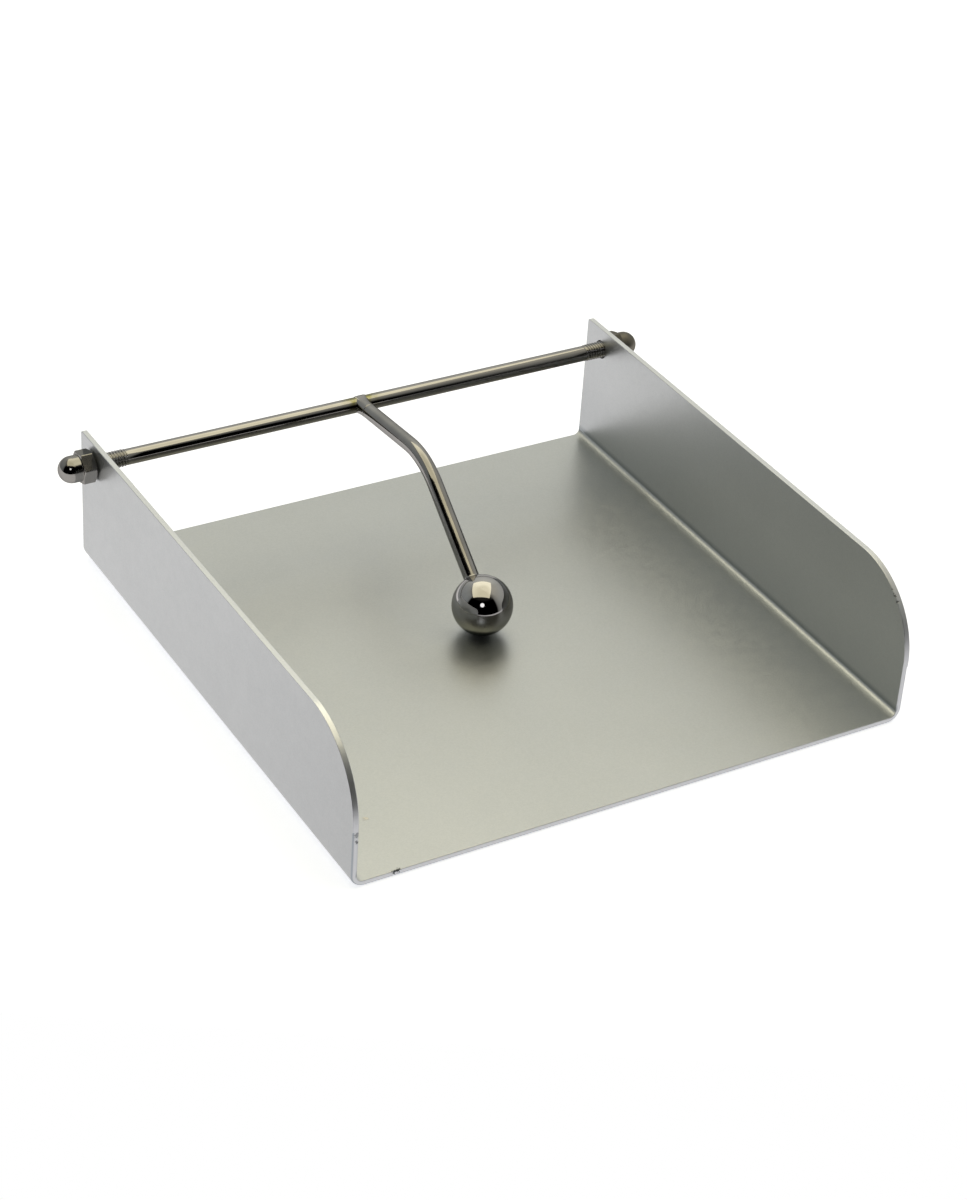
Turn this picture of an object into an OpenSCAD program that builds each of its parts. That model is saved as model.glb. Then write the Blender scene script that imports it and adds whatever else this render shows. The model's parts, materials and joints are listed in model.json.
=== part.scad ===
// Napkin holder: a tray bent from one sheet, with a swinging arm whose ball holds the napkins down.
// X runs along the pivot rod, Y points to the rear and Z points up.
// The origin is the middle of the tray's underside. All sizes are in millimetres.

/* [Tray] */
// Overall width, over both side walls
tray_width = 195; // [150:1:260]
// Depth from the front edge to the rear edge
tray_depth = 193; // [150:1:260]
// Height of the side walls
wall_height = 49; // [47:0.5:60]
// Thickness of the sheet
sheet = 1.9; // [1.2:0.1:2.6]
// Inside radius of the two folds
fold_radius = 2; // [1:0.1:6]
// How much thinner folding has drawn the sheet in the middle of each fold
fold_thinning = 0.3; // [0:0.05:0.4]
// Radius of each wall's upper front corner
front_corner_radius = 27.5; // [10:0.5:40]
// Radius of each wall's upper rear corner
rear_corner_radius = 1; // [0.5:0.5:4]

/* [Pivot rod] */
// Diameter of the plain length of the rod
rod_diameter = 5.4; // [4.6:0.1:5.4]
// Distance of the rod's axis from the rear edge of the walls
rod_inset = 9.5; // [8:0.5:20]
// Distance of the rod's axis below the top edge of the walls
rod_drop = 7.8; // [7:0.1:12]
// Radial clearance between the thread and its hole in the wall
wall_hole_clearance = 0.35; // [0.1:0.05:0.6]

/* [Thread] */
// Diameter over the thread's crests
thread_diameter = 5.8; // [5.6:0.1:6.2]
// Depth of the thread's grooves
thread_depth = 0.5; // [0.2:0.05:0.6]
// Distance from one crest to the next
thread_pitch = 1; // [0.7:0.05:1.25]
// Length of thread that shows inside the left wall
thread_inside_left = 9.7; // [2:0.1:20]
// Length of thread that shows inside the right wall
thread_inside_right = 7.5; // [2:0.1:20]
// Length of thread that each cap nut takes
thread_in_nut = 7; // [4:0.1:8]

/* [Cap nuts] */
// Width of the hexagon across its flats
nut_across_flats = 10; // [9.5:0.1:11]
// Height of the hexagon
nut_hex_height = 4.7; // [3:0.1:6]
// Height of the whole nut, with its dome
nut_height = 11.5; // [11:0.1:14]
// Diameter of the dome and of the neck under it
nut_dome_diameter = 9; // [7.8:0.1:9.4]
// Diameter of the flat that the chamfer leaves on each side of the hexagon
nut_face_diameter = 9.6; // [9:0.1:9.9]
// Angle of the chamfer on the hexagon's corners
nut_chamfer_angle = 25; // [10:1:35]
// Radial clearance between the thread and the nut's bore
nut_bore_clearance = 0.05; // [0.02:0.01:0.1]
// Space between the rod's end and the bottom of the nut's bore
nut_bore_spare = 0.3; // [0.1:0.1:0.5]
// Running gap between each nut and the wall beside it
nut_gap = 0.4; // [0.2:0.05:1]
// Turn of the left nut: angle of a corner above the horizontal, seen from the left
nut_turn_left = 12; // [0:1:59]
// Turn of the right nut, seen from the left too
nut_turn_right = 15; // [0:1:59]

/* [Press arm] */
// Diameter of the arm
arm_diameter = 5.2; // [4:0.1:5.6]
// Length from the rod's axis to the corner that the arm's two straight runs point at
arm_reach = 45; // [35:0.5:55]
// Angle at which the arm leaves the rod, above the horizontal
arm_rise = 5; // [0:0.5:12]
// Radius of the bend, at the arm's centre line
arm_bend_radius = 26; // [12:0.5:34]
// How much thinner bending has drawn the arm than its straight runs
bend_thinning = 0.06; // [0.04:0.01:0.3]
// Space at each of the arm's two welded seats, too thin to see
weld_gap = 0.05; // [0.02:0.01:0.1]

/* [Ball] */
// Diameter of the ball
ball_diameter = 20; // [16:0.5:26]
// Gap between the ball and the base while the arm is at rest
ball_gap = 0.3; // [0.2:0.05:0.6]

/* [Hidden] */
$fn = 96;
// Length by which a cut runs past the face that it opens
past = 1;
// Length by which each straight run of the arm reaches over the end of the bend
run_overlap = 0.3;
hexagon_sides = 6;

wall_outside = tray_width / 2;
wall_inside = wall_outside - sheet;
rear_edge = tray_depth / 2;
// Larger than fold_radius + sheet, which thins the middle of the fold by fold_thinning
fold_outside_radius = fold_radius + sheet + fold_thinning / (sqrt(2) - 1);

rod_y = rear_edge - rod_inset;
rod_z = wall_height - rod_drop;
wall_hole_diameter = thread_diameter + 2 * wall_hole_clearance;
nut_seat = wall_outside + nut_gap;
rod_end = nut_seat + thread_in_nut;

ball_radius = ball_diameter / 2;
ball_z = sheet + ball_gap + ball_radius;

// The arm's corner, and the slope of its lower run, which points at the ball's centre over the middle of the base
corner_y = rod_y - arm_reach * cos(arm_rise);
corner_z = rod_z + arm_reach * sin(arm_rise);
arm_drop = atan2(corner_z - ball_z, corner_y);
bend_angle = arm_rise + arm_drop;
bend_tangent = arm_bend_radius * tan(bend_angle / 2);
lower_run = norm([corner_y, corner_z - ball_z]);

// Points the local +Z axis along the pivot rod, to the right
module along_rod() {
    translate([0, rod_y, rod_z]) rotate([0, 90, 0]) children();
}

// Flat outline of a trough: a box with its two lower corners rounded
module trough_outline(width, radius) {
    translate([-width / 2, radius]) square([width, wall_height]);
    translate([radius - width / 2, 0]) square([width - 2 * radius, radius + past]);
    for (side = [-1, 1]) translate([side * (width / 2 - radius), radius]) circle(radius);
}

// The sheet's section across the tray: the base, the two folds and the two walls
module sheet_section() {
    difference() {
        trough_outline(tray_width, fold_outside_radius);
        translate([0, sheet]) trough_outline(tray_width - 2 * sheet, fold_radius);
    }
}

// Outline of the tray from the side, with the round upper corners of the walls
module side_outline() {
    front_corner_z = wall_height - front_corner_radius;
    rear_corner_z = wall_height - rear_corner_radius;
    translate([-rear_edge, 0]) square([tray_depth, front_corner_z]);
    translate([front_corner_radius - rear_edge, 0])
        square([tray_depth - front_corner_radius, rear_corner_z]);
    translate([front_corner_radius - rear_edge, 0])
        square([tray_depth - front_corner_radius - rear_corner_radius, wall_height]);
    translate([front_corner_radius - rear_edge, front_corner_z]) circle(front_corner_radius);
    translate([rear_edge - rear_corner_radius, rear_corner_z]) circle(rear_corner_radius);
}

module tray() {
    color("lightgray") difference() {
        intersection() {
            rotate([90, 0, 0]) linear_extrude(tray_depth, center = true) sheet_section();
            rotate([90, 0, 90]) linear_extrude(tray_width + past, center = true) side_outline();
        }
        along_rod() cylinder(h = tray_width + past, d = wall_hole_diameter, center = true);
    }
}

// A threaded length that stands on z = 0: a run-out, then whole turns of V-shaped grooves up to its end
module thread(length) {
    crest = thread_diameter / 2;
    root = crest - thread_depth;
    shortest_runout = thread_pitch / 2;
    turns = floor((length - shortest_runout) / thread_pitch);
    runout = length - turns * thread_pitch;
    grooves = [for (turn = [0 : turns - 1], side = [0, 1])
        [side == 0 ? crest : root, runout + (turn + side / 2) * thread_pitch]];
    rotate_extrude() polygon(concat([[0, 0], [rod_diameter / 2, 0], [crest, runout / 2]],
        grooves, [[root, length], [0, length]]));
}

module pivot_rod() {
    left_thread = rod_end - wall_inside + thread_inside_left;
    right_thread = rod_end - wall_inside + thread_inside_right;
    color("silver") along_rod() {
        translate([0, 0, left_thread - rod_end])
            cylinder(h = 2 * rod_end - left_thread - right_thread, d = rod_diameter);
        translate([0, 0, rod_end - right_thread]) thread(right_thread);
        mirror([0, 0, 1]) translate([0, 0, rod_end - left_thread]) thread(left_thread);
    }
}

// The two chamfered faces of a hexagon, as a turned solid that reaches past its corners and cuts them off
module chamfer_envelope() {
    reach = nut_across_flats / 4;
    slope = reach * tan(nut_chamfer_angle);
    rotate_extrude() polygon([
        [0, 0],
        [nut_face_diameter / 2, 0],
        [nut_face_diameter / 2 + reach, slope],
        [nut_face_diameter / 2 + reach, nut_hex_height - slope],
        [nut_face_diameter / 2, nut_hex_height],
        [0, nut_hex_height]
    ]);
}

// The neck and the round dome above the hexagon, turned from one profile
module dome() {
    dome_radius = nut_dome_diameter / 2;
    rotate_extrude() intersection() {
        union() {
            square([dome_radius, nut_height - dome_radius]);
            translate([0, nut_height - dome_radius]) circle(dome_radius);
        }
        square([dome_radius, nut_height]);
    }
}

// A cap nut that stands on its bearing face, with its blind bore open downwards
module cap_nut(turn) {
    corner_diameter = nut_across_flats / cos(180 / hexagon_sides);
    difference() {
        union() {
            intersection() {
                rotate([0, 0, -90 - turn]) cylinder(h = nut_hex_height, d = corner_diameter, $fn = hexagon_sides);
                chamfer_envelope();
            }
            dome();
        }
        translate([0, 0, -past])
            cylinder(h = thread_in_nut + nut_bore_spare + past, d = thread_diameter + 2 * nut_bore_clearance);
    }
}

module cap_nut_left() {
    color("gainsboro") along_rod() mirror([0, 0, 1]) translate([0, 0, nut_seat]) cap_nut(nut_turn_left);
}

module cap_nut_right() {
    color("gainsboro") along_rod() translate([0, 0, nut_seat]) cap_nut(nut_turn_right);
}

// The arm's centre line lies in the plane x = 0: an upper run, a bend, and a lower run that ends at the ball
module press_arm() {
    bend_start = arm_reach - bend_tangent;
    lower_length = lower_run - bend_tangent;
    color("silver") difference() {
        translate([0, rod_y, rod_z]) rotate([90 - arm_rise, 0, 0]) {
            cylinder(h = bend_start + run_overlap, d = arm_diameter);
            translate([0, -arm_bend_radius, bend_start]) {
                rotate([90, 0, 90]) rotate_extrude(angle = bend_angle)
                    translate([arm_bend_radius, 0]) circle(d = arm_diameter - bend_thinning);
                rotate([bend_angle, 0, 0]) translate([0, arm_bend_radius, -run_overlap])
                    cylinder(h = lower_length + run_overlap, d = arm_diameter);
            }
        }
        along_rod() cylinder(h = tray_width, d = rod_diameter + 2 * weld_gap, center = true);
        translate([0, 0, ball_z]) sphere(ball_radius + weld_gap);
    }
}

module ball_weight() {
    color("gainsboro") translate([0, 0, ball_z]) sphere(ball_radius);
}

tray();
pivot_rod();
press_arm();
ball_weight();
cap_nut_left();
cap_nut_right();
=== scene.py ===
import json
import math

import bmesh
import bpy
from mathutils import Matrix, Vector, geometry


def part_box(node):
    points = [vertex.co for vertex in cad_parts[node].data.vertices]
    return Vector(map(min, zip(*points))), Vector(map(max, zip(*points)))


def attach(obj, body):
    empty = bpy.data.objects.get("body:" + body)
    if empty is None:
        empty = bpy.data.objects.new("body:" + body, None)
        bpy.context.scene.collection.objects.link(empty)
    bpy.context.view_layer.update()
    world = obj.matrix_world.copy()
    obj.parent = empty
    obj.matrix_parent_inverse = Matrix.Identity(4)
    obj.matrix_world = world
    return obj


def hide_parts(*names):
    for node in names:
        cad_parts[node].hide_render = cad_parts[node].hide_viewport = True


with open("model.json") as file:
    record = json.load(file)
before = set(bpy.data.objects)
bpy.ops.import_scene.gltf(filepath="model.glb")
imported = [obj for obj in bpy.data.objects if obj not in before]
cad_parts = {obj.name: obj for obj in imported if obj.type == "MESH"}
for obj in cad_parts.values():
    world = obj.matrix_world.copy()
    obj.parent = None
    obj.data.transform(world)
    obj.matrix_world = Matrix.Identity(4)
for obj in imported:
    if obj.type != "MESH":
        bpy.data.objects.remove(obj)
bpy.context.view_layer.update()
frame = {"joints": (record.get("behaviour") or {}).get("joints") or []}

MM = 0.001
QUARTER = math.pi / 2
FULL = 2 * math.pi

# Places that the frame gives
tray_low, tray_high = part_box("tray")
ball_low, ball_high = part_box("ball_weight")
rod_low, rod_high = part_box("pivot_rod")
left_nut_low, left_nut_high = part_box("cap_nut_left")
right_nut_low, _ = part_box("cap_nut_right")
PIVOT = Vector(frame["joints"][0]["pos_m"])
BALL_CENTRE = (ball_low + ball_high) / 2
BALL_RADIUS = (ball_high.x - ball_low.x) / 2

# Sizes that the frame's boxes don't give, as the solids have them
SHEET = 1.9 * MM
FOLD_RADIUS = 2 * MM
FOLD_THINNING = 0.3 * MM
FRONT_CORNER_RADIUS = 27.5 * MM
REAR_CORNER_RADIUS = 1 * MM
WALL_HOLE_RADIUS = 3.25 * MM
ROD_RADIUS = 2.7 * MM
THREAD_RADIUS = 2.9 * MM
THREAD_PITCH = 1 * MM
THREAD_DEPTH = 0.5 * MM
THREAD_INSIDE_LEFT = 9.7 * MM
THREAD_INSIDE_RIGHT = 7.5 * MM
ARM_RADIUS = 2.6 * MM
ARM_REACH = 45 * MM
ARM_RISE = math.radians(5)
ARM_BEND_RADIUS = 26 * MM
NUT_ACROSS_FLATS = 10 * MM
NUT_HEX_HEIGHT = 4.7 * MM
NUT_DOME_RADIUS = 4.5 * MM
NUT_FACE_RADIUS = 4.8 * MM
NUT_CHAMFER = math.radians(25)
NUT_BORE_RADIUS = 2.95 * MM
NUT_BORE_DEPTH = 7.3 * MM
NUT_EDGE_ROUNDING = 0.12 * MM
# A corner of the hexagon lies 30 degrees from the middle of a side
NUT_TURN_LEFT = math.radians(30 - 12)
NUT_TURN_RIGHT = math.radians(30 - 15)
TIP_RADIUS = 2.1 * MM

# Along the pivot rod, to the right
SIDEWAYS = Vector((1, 0, 0))
# Points closer than this are one point
JOINED = 0.0005 * MM


# Meshes

def mesh_object(name, points, faces, normals=None):
    """A smooth object from points and faces, with its own normals where they are given."""
    mesh = bpy.data.meshes.new(name)
    mesh.from_pydata([tuple(point) for point in points], [], faces)
    mesh.validate()
    mesh.polygons.foreach_set("use_smooth", [True] * len(mesh.polygons))
    if normals:
        mesh.normals_split_custom_set_from_vertices([tuple(normal) for normal in normals])
    made = bpy.data.objects.new(name, mesh)
    bpy.context.scene.collection.objects.link(made)
    return made


def keep_levels(made, name, levels):
    """Stores a number for each of the first points and 0 for the others, for the materials."""
    rest = len(made.data.vertices) - len(levels)
    layer = made.data.attributes.new(name, "FLOAT", "POINT")
    layer.data.foreach_set("value", levels + [0.0] * rest)


def edit_mesh(made, change):
    """Opens the object's mesh for editing, runs change on it and closes it again."""
    work = bmesh.new()
    work.from_mesh(made.data)
    change(work)
    work.to_mesh(made.data)
    work.free()


def face_outwards(made):
    """Turns the faces of a closed mesh so that they all look outwards."""
    edit_mesh(made, lambda work: bmesh.ops.recalc_face_normals(work, faces=work.faces))
    return made


def merged(made):
    """Joins the points that lie in one place, such as the shared rings of two lengths."""
    edit_mesh(made, lambda work: bmesh.ops.remove_doubles(work, verts=work.verts, dist=JOINED))
    made.data.polygons.foreach_set("use_smooth", [True] * len(made.data.polygons))
    return made


def rings_to_faces(rings, sides, closed_ends=True):
    """Quads between rings of the same number of points, closed by one face at each end if wanted."""
    faces = []
    for ring in range(rings - 1):
        for side in range(sides):
            after = (side + 1) % sides
            faces.append((ring * sides + side, ring * sides + after,
                          (ring + 1) * sides + after, (ring + 1) * sides + side))
    if closed_ends:
        faces.append(tuple(reversed(range(sides))))
        faces.append(tuple(range((rings - 1) * sides, rings * sides)))
    return faces


def arc(centre, radius, start, end, steps):
    """Points of an arc with the outward direction at each, as pairs of 2-D vectors."""
    made = []
    for step in range(steps + 1):
        angle = start + (end - start) * step / steps
        out = Vector((math.cos(angle), math.sin(angle)))
        made.append((centre + out * radius, out))
    return made


def round_axis(across, radius, angle):
    """A point round the rod's axis, at a distance across, a radius and an angle from the rear."""
    return across, PIVOT.y + radius * math.cos(angle), PIVOT.z + radius * math.sin(angle)


def round_arm(direction, angle):
    """The unit vector square to a direction of the arm, at an angle from the right."""
    return SIDEWAYS * math.cos(angle) + direction.cross(SIDEWAYS) * math.sin(angle)


# Tray: the sheet's flat pattern, folded

TRAY_DEPTH = tray_high.y - tray_low.y
OUTER_FOLD_RADIUS = FOLD_RADIUS + SHEET + FOLD_THINNING / (math.sqrt(2) - 1)
FLAT_HALF = tray_high.x - OUTER_FOLD_RADIUS
FOLD_LENGTH = (OUTER_FOLD_RADIUS - SHEET / 2) * QUARTER
WALL_START = FLAT_HALF + FOLD_LENGTH
PATTERN_HALF = WALL_START + tray_high.z - OUTER_FOLD_RADIUS
FOLD_STEPS = 24
# How far the coat has pooled in the inside of the folds: 1 would be an even coat
COAT_POOLING = 2.2
CORNER_STEPS = 40
HOLE_STEPS = 64
ROUNDING_STEPS = 5
# Rounding of a sheared edge: small on the side where the blade went in, larger on the other
INNER_ROUNDING = 0.25 * MM
OUTER_ROUNDING = 0.6 * MM
REAR_ROUNDING = 0.2 * MM
# The front corners are punched, which leaves a sharper outer edge up to where the sheared one begins
PUNCHED_ROUNDING = 0.12 * MM
PUNCHED_OVERRUN = 1 * MM
# Length over which one rounding of the edge turns into the other
ROUNDING_CHANGE = 0.2 * MM
# Rounding from which on an edge shows its whole dark rim
RIM_FULL_ROUNDING = 0.4 * MM
# How fast the pale wear of an edge fades out towards the faces
EDGE_WEAR_FADE = 0.5
# Marks across the pattern that are closer than this are the same
SAME_MARK = 0.001 * MM
FILL_PRECISION = 1e-7


def fold_section(turn):
    """The outer and the inner point of the fold at a turn, and the inward direction at each of them.

    The points are seen from the middle of the outer arc. The inner arc has a middle of its own, since
    folding has thinned the sheet. Its inward direction lags behind the turn, as the coat has pooled."""
    out = Vector((math.sin(turn), -math.cos(turn)))
    space = OUTER_FOLD_RADIUS - SHEET
    shift = space - FOLD_RADIUS
    middle = Vector((shift, -shift))
    ahead = out.dot(middle)
    inner = out * (ahead + math.sqrt(FOLD_RADIUS ** 2 - middle.length_squared + ahead ** 2))
    lean = QUARTER * (turn / QUARTER) ** COAT_POOLING
    look = Vector((-math.sin(lean), math.cos(lean)))
    if inner.x < shift:
        inner = out * (space / math.cos(turn))
        look = Vector((0, 1))
    elif inner.y > -shift:
        inner = out * (space / math.sin(turn))
        look = Vector((-1, 0))
    return out * OUTER_FOLD_RADIUS, inner, -out, look


def folded(across, along, depth):
    """The place, the inward normal and the direction across of a point of the flat pattern.

    depth runs from 0 at the outer face inwards."""
    side = math.copysign(1, across)
    reach = abs(across)
    if reach <= FLAT_HALF:
        return Vector((across, along, depth)), Vector((0, 0, 1)), Vector((side, 0, 0))
    turn = QUARTER * min(1, (reach - FLAT_HALF) / FOLD_LENGTH)
    outer, inner, outer_look, inner_look = fold_section(turn)
    at = outer.lerp(inner, depth / SHEET)
    look = inner_look if depth > SHEET / 2 else outer_look
    rise = max(0, reach - WALL_START)
    place = Vector((side * (FLAT_HALF + at.x), along, OUTER_FOLD_RADIUS + at.y + rise))
    return place, Vector((side * look.x, 0, look.y)), Vector((side * look.y, 0, -look.x))


def pattern_outline():
    """The flat pattern's outline as (point, outward direction, rounding of the outer edge) in order."""
    front = -TRAY_DEPTH / 2
    rear = TRAY_DEPTH / 2
    down = Vector((0, -1))
    up = Vector((0, 1))
    fold_marks = [FLAT_HALF + FOLD_LENGTH * step / FOLD_STEPS for step in range(FOLD_STEPS + 1)]
    sheared_from = PATTERN_HALF - FRONT_CORNER_RADIUS - PUNCHED_OVERRUN
    front_marks = fold_marks + [sheared_from - ROUNDING_CHANGE, sheared_from]
    made = []

    def add_corner(centre, radius, start, end, steps, rounding):
        made.extend((at, out, rounding) for at, out in arc(centre, radius, start, end, steps))

    corner = Vector((PATTERN_HALF - FRONT_CORNER_RADIUS, front + FRONT_CORNER_RADIUS))
    rear_corner = Vector((PATTERN_HALF - REAR_CORNER_RADIUS, rear - REAR_CORNER_RADIUS))
    rear_steps = CORNER_STEPS // 4
    for mark in [-mark for mark in reversed(front_marks)] + front_marks:
        punched = abs(mark) > sheared_from - ROUNDING_CHANGE / 2
        made.append((Vector((mark, front)), down, PUNCHED_ROUNDING if punched else OUTER_ROUNDING))
    add_corner(corner, FRONT_CORNER_RADIUS, -QUARTER, 0, CORNER_STEPS, PUNCHED_ROUNDING)
    add_corner(rear_corner, REAR_CORNER_RADIUS, 0, QUARTER, rear_steps, REAR_ROUNDING)
    for mark in list(reversed(fold_marks)) + [-mark for mark in fold_marks]:
        made.append((Vector((mark, rear)), up, REAR_ROUNDING))
    mirrored = Vector((-rear_corner.x, rear_corner.y))
    add_corner(mirrored, REAR_CORNER_RADIUS, QUARTER, math.pi, rear_steps, REAR_ROUNDING)
    mirrored = Vector((-corner.x, corner.y))
    add_corner(mirrored, FRONT_CORNER_RADIUS, math.pi, 3 * QUARTER, CORNER_STEPS, PUNCHED_ROUNDING)
    return made


def hole_outline(side):
    """The outline of a wall's hole, with its outward direction pointing into the hole."""
    centre = Vector((side * (WALL_START + PIVOT.z - OUTER_FOLD_RADIUS), PIVOT.y))
    turned = arc(centre, WALL_HOLE_RADIUS, 0, -FULL, HOLE_STEPS)
    return [(at, -out, INNER_ROUNDING) for at, out in turned[:-1]]


def edge_rings(rounding):
    """Steps over the rounded edge, from the inner to the outer face: (inset, depth, tilt of normal)."""
    rings = []
    for step in range(ROUNDING_STEPS + 1):
        tilt = QUARTER * (1 - step / ROUNDING_STEPS)
        rings.append((INNER_ROUNDING * (1 - math.cos(tilt)),
                      SHEET - INNER_ROUNDING * (1 - math.sin(tilt)), tilt))
    for step in range(ROUNDING_STEPS + 1):
        tilt = -QUARTER * step / ROUNDING_STEPS
        rings.append((rounding * (1 - math.cos(tilt)), rounding * (1 + math.sin(tilt)), tilt))
    return rings


def make_tray():
    """The bent sheet with its rounded edges, built from the flat pattern."""
    points, normals, faces, edge, rim = [], [], [], [], []
    inner_loops, outer_loops = [], []
    outlines = (pattern_outline(), hole_outline(-1), hole_outline(1))
    rings = len(edge_rings(OUTER_ROUNDING))
    for outline in outlines:
        rows = [len(points) + index * rings for index in range(len(outline))]
        for flat, out, rounding in outline:
            for inset, depth, tilt in edge_rings(rounding):
                at = flat - out * inset
                place, inward, run = folded(at.x, at.y, depth)
                side = math.copysign(1, at.x)
                level = run * (out.x * side) + Vector((0, out.y, 0))
                points.append(place)
                normals.append(level * math.cos(tilt) + inward * math.sin(tilt))
                edge.append(max(0.0, math.cos(tilt)) ** EDGE_WEAR_FADE)
                rim.append(max(0.0, math.sin(-2 * tilt)) * min(1.0, rounding / RIM_FULL_ROUNDING))
        for here, beside in zip(rows, rows[1:] + rows[:1]):
            faces += [(here + ring, here + ring + 1, beside + ring + 1, beside + ring)
                      for ring in range(rings - 1)]
        inner_loops.append(rows)
        outer_loops.append([row + rings - 1 for row in rows])
    for loops, depth in ((inner_loops, SHEET), (outer_loops, 0)):
        fill_pattern(outlines, loops, depth, points, normals, faces)
    made = mesh_object("tray_sheet", points, faces, normals)
    keep_levels(made, "edge", edge)
    keep_levels(made, "rim", rim)
    return made


def fill_pattern(outlines, loops, depth, points, normals, faces):
    """Fills one face of the sheet between its outline and the two holes, cut along the folds.

    loops are the indices that the points of the outlines have on this face."""
    where = {}
    flat, edges = [], []
    for loop, outline in zip(loops, outlines):
        first = len(flat)
        for index, (at, out, rounding) in zip(loop, outline):
            inset = INNER_ROUNDING if depth > 0 else rounding
            where[len(flat)] = index
            flat.append(at - out * inset)
        count = len(loop)
        edges += [(first + step, first + (step + 1) % count) for step in range(count)]
    folds_end = WALL_START + SAME_MARK
    fronts = [index for index, at in enumerate(flat) if at.y < 0 and abs(at.x) < folds_end]
    for front in fronts:
        across = flat[front].x
        edges += [(front, rear) for rear, at in enumerate(flat)
                  if at.y > 0 and abs(at.x - across) < SAME_MARK]
    made, _, made_faces, sources, _, _ = geometry.delaunay_2d_cdt(flat, edges, [], 1, FILL_PRECISION)
    names = {}
    for index, at in enumerate(made):
        known = [where[source] for source in sources[index] if source in where]
        if known:
            names[index] = known[0]
        else:
            place, inward, _ = folded(at.x, at.y, depth)
            names[index] = len(points)
            points.append(place)
            normals.append(inward if depth > 0 else -inward)
    holes = [set(loop) for loop in loops[1:]]
    for face in made_faces:
        if any(all(names[index] in hole for index in face) for hole in holes):
            continue
        turned = face if depth > 0 else reversed(face)
        faces.append(tuple(names[index] for index in turned))


# Rod with its two threads

ROD_SIDES = 48
ROD_ROWS = 33
# Rows of points over one pitch of the thread
THREAD_SLICES = 12
# Slope of the thread's flanks over a turn, and how high they would meet above a crest
THREAD_SLOPE = 2.9
THREAD_PEAK = 1.22
# Turns over which the thread runs out into the plain rod
THREAD_RUNOUT = 1.3


def thread_cut(phase):
    """How deep the V-shaped groove is at a phase of the turn, from 0 on the crest to 1 in the root."""
    flank = min(1, max(0, THREAD_PEAK - abs(phase % 1 - 0.5) * THREAD_SLOPE))
    return 1 - flank * flank * (3 - 2 * flank)


def thread_grid(left, right, runout):
    """Points and faces of a thread from left to right, which turns into the plain rod at runout.

    Its rows follow the helix."""
    rows = int((right - left) / THREAD_PITCH * THREAD_SLICES) + 2 * THREAD_SLICES
    points, faces = [], []
    for row in range(rows + 1):
        for side in range(ROD_SIDES):
            turn = side / ROD_SIDES
            across = left + THREAD_PITCH * ((row - THREAD_SLICES) / THREAD_SLICES + turn)
            across = max(left, min(right, across))
            inside = abs(across - runout)
            full = THREAD_RADIUS - THREAD_DEPTH * thread_cut(row / THREAD_SLICES)
            grown = min(1, inside / (THREAD_RUNOUT * THREAD_PITCH))
            radius = ROD_RADIUS + (full - ROD_RADIUS) * grown
            tip = min(across - rod_low.x, rod_high.x - across)
            points.append(round_axis(across, min(radius, TIP_RADIUS + tip), FULL * turn))
    for row in range(rows):
        for side in range(ROD_SIDES):
            after = (side + 1) % ROD_SIDES
            shift = THREAD_SLICES if after == 0 else 0
            if row + shift + 1 > rows:
                continue
            faces.append((row * ROD_SIDES + side, (row + shift) * ROD_SIDES + after,
                          (row + shift + 1) * ROD_SIDES + after, (row + 1) * ROD_SIDES + side))
    return points, faces


def make_rod():
    """The plain length of the rod with a thread at each end."""
    left_start = tray_low.x + SHEET + THREAD_INSIDE_LEFT
    right_start = tray_high.x - SHEET - THREAD_INSIDE_RIGHT
    points, faces = thread_grid(rod_low.x, left_start, left_start)
    more_points, more_faces = thread_grid(right_start, rod_high.x, right_start)
    faces += [tuple(index + len(points) for index in face) for face in more_faces]
    points += more_points
    angles = [FULL * side / ROD_SIDES for side in range(ROD_SIDES)]
    first = len(points)
    for row in range(ROD_ROWS):
        across = left_start + (right_start - left_start) * row / (ROD_ROWS - 1)
        points += [round_axis(across, ROD_RADIUS, angle) for angle in angles]
    plain_faces = rings_to_faces(ROD_ROWS, ROD_SIDES, closed_ends=False)
    faces += [tuple(index + first for index in face) for face in plain_faces]
    for across in (rod_low.x, rod_high.x):
        first = len(points)
        points += [round_axis(across, TIP_RADIUS, angle) for angle in angles]
        faces.append(tuple(range(first, first + ROD_SIDES)))
    return face_outwards(merged(mesh_object("threaded_rod", points, faces)))


# Arm: an upper run, a bend and a lower run in the plane through the middle

ARM_START = Vector((0, -math.cos(ARM_RISE), math.sin(ARM_RISE)))
ARM_CORNER = PIVOT + ARM_START * ARM_REACH
ARM_END = (BALL_CENTRE - ARM_CORNER).normalized()
ARM_BEND = ARM_START.angle(ARM_END)
ARM_TANGENT = ARM_BEND_RADIUS * math.tan(ARM_BEND / 2)
# Distance from the ball's middle at which the arm's surface meets the ball
ARM_MEETS_BALL = math.sqrt(BALL_RADIUS ** 2 - ARM_RADIUS ** 2)
ARM_SIDES = 64
ARM_RUN_STEPS = 14
ARM_BEND_STEPS = 24
# Space between the rod and the arm's end, and how near to rod and ball the arm's plain rings come
ARM_GAP = 0.02 * MM
ARM_NEAR_ROD = 0.3 * MM
ARM_NEAR_BALL = 0.2 * MM


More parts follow.
